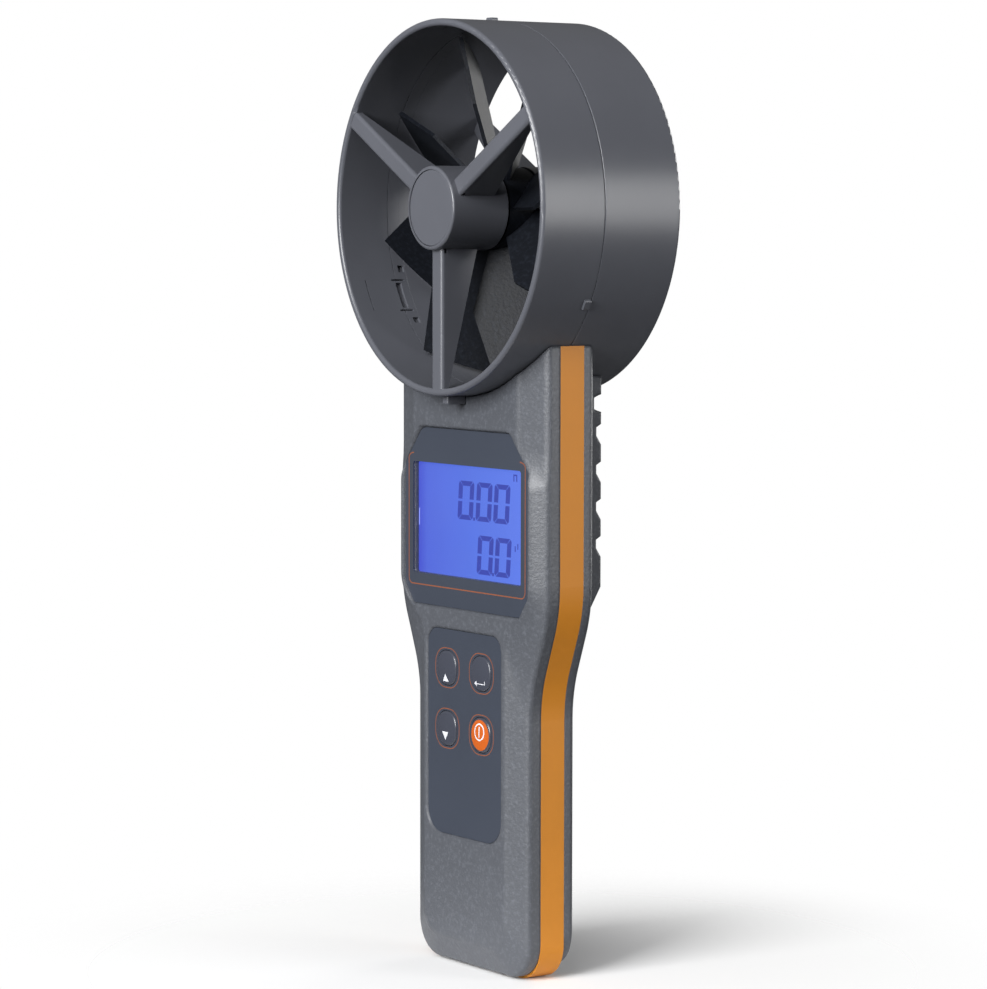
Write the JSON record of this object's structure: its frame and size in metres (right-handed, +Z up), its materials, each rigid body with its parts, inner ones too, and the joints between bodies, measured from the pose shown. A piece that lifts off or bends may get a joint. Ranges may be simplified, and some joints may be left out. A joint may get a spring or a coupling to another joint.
{
  "type": "vane anemometer",
  "caption": "Hand-held air speed meter: a ring with a spinning vane wheel on a two-part handle with an orange side band, backlit display and keys.",
  "frame": {"origin": "middle of the ring in X and in its depth, at the lowest face of the handle", "axes": "+Z up the handle to the ring, the display faces -Y, the ring axis is parallel to Y"},
  "size_m": [0.106, 0.05, 0.2718],
  "materials": {
    "shroud_plastic": "satin moulded",
    "casing_plastic": "fine spark-erosion grain",
    "band_orange": "satin moulded",
    "vane_plastic": "fine grain, dark",
    "panel_film": "smooth satin",
    "clear_window": "clear",
    "lcd_glass": "blue backlit",
    "light_guide": "frosted",
    "contact_rubber": "matt",
    "circuit_board": "solder mask",
    "chip_black": "moulded",
    "connector_white": "moulded",
    "lead_sheath": "matt",
    "steel": "plain",
    "magnet": "nickel plated",
    "screw_black": "black oxide",
    "brass": "turned",
    "cell_jacket": "printed sleeve, plain",
    "key_grey": "silicone, satin",
    "key_orange": "silicone, satin"
  },
  "bodies": {
    "housing": {"front_shroud": "shroud_plastic", "rear_shroud": "shroud_plastic", "front_hub_cap": "shroud_plastic", "rear_hub_cap": "shroud_plastic", "front_bearing": "steel", "rear_bearing": "steel", "pickup_board": "circuit_board", "sensor_lead": "lead_sheath", "front_casing": "casing_plastic", "side_band": "band_orange", "rear_casing": "casing_plastic", "display_bezel": "panel_film", "display_window": "clear_window", "lcd_panel": "lcd_glass", "lcd_backlight": "light_guide", "lcd_connectors": "contact_rubber", "main_board": "circuit_board", "board_parts": "chip_black", "lead_socket": "connector_white", "buzzer": "chip_black", "key_domes": "steel", "keypad_panel": "panel_film", "battery_cells": "cell_jacket", "contact_plates": "steel", "contact_springs": "steel", "case_screws": "screw_black", "shroud_screw": "screw_black", "tripod_socket": "brass"},
    "rotor": {"rotor_shaft": "steel", "vane_wheel": "vane_plastic", "rotor_magnet": "magnet"},
    "up_key": {"key_up": "key_grey"},
    "down_key": {"key_down": "key_grey"},
    "enter_key": {"key_enter": "key_grey"},
    "power_key": {"key_power": "key_orange"},
    "battery_door": {"battery_cover": "casing_plastic"}
  },
  "joints": [
    {"name": "rotor_spin", "type": "hinge", "parent": "housing", "child": "rotor", "pos_m": [0, 0, 0.218], "axis": [0, 1, 0], "continuous": true},
    {"name": "up_key_press", "type": "slide", "parent": "housing", "child": "up_key", "axis": [0, 1, 0], "range_m": [0, 0.0008], "stiffness_N_per_m": 1500},
    {"name": "down_key_press", "type": "slide", "parent": "housing", "child": "down_key", "axis": [0, 1, 0], "range_m": [0, 0.0008], "stiffness_N_per_m": 1500},
    {"name": "enter_key_press", "type": "slide", "parent": "housing", "child": "enter_key", "axis": [0, 1, 0], "range_m": [0, 0.0008], "stiffness_N_per_m": 1500},
    {"name": "power_key_press", "type": "slide", "parent": "housing", "child": "power_key", "axis": [0, 1, 0], "range_m": [0, 0.0008], "stiffness_N_per_m": 1500},
    {"name": "battery_door_slide", "type": "slide", "parent": "housing", "child": "battery_door", "axis": [0, 0, -1], "range_m": [0, 0.006]}
  ]
}
